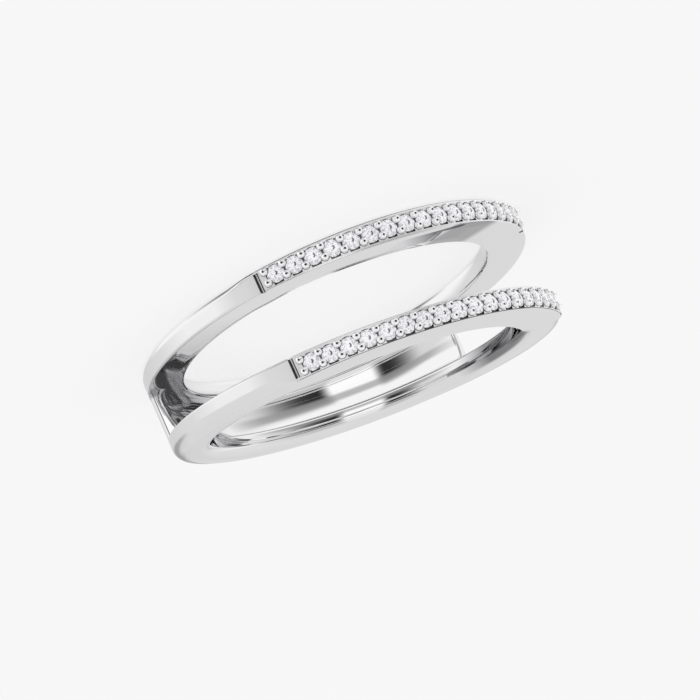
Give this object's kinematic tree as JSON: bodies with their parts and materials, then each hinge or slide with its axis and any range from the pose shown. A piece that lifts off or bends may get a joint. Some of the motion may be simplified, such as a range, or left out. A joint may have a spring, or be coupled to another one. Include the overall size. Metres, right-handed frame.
{
  "type": "ring guard enhancer",
  "caption": "Open double-band finger ring that holds another ring between its two bands, each band set along the top with a row of small round stones.",
  "frame": {"origin": "on the finger axis, in the plane of the rear band's outer side, which lies on the surface", "axes": "+Z along the finger axis, up from the rear band to the front band; -Y toward 12 o'clock, the middle of the stone rows; +X makes it right-handed"},
  "size_m": [0.0216, 0.0219, 0.0066],
  "materials": {
    "metal": "polished rhodium-plated white gold",
    "stone": "clear round brilliant, faceted"
  },
  "bodies": {
    "root": {"shank": "metal", "rear_stone_01": "stone", "rear_stone_02": "stone", "rear_stone_03": "stone", "rear_stone_04": "stone", "rear_stone_05": "stone", "rear_stone_06": "stone", "rear_stone_07": "stone", "rear_stone_08": "stone", "rear_stone_09": "stone", "rear_stone_10": "stone", "rear_stone_11": "stone", "rear_stone_12": "stone", "rear_stone_13": "stone", "rear_stone_14": "stone", "rear_stone_15": "stone", "rear_stone_16": "stone", "rear_stone_17": "stone", "front_stone_01": "stone", "front_stone_02": "stone", "front_stone_03": "stone", "front_stone_04": "stone", "front_stone_05": "stone", "front_stone_06": "stone", "front_stone_07": "stone", "front_stone_08": "stone", "front_stone_09": "stone", "front_stone_10": "stone", "front_stone_11": "stone", "front_stone_12": "stone", "front_stone_13": "stone", "front_stone_14": "stone", "front_stone_15": "stone", "front_stone_16": "stone", "front_stone_17": "stone"}
  },
  "joints": []
}
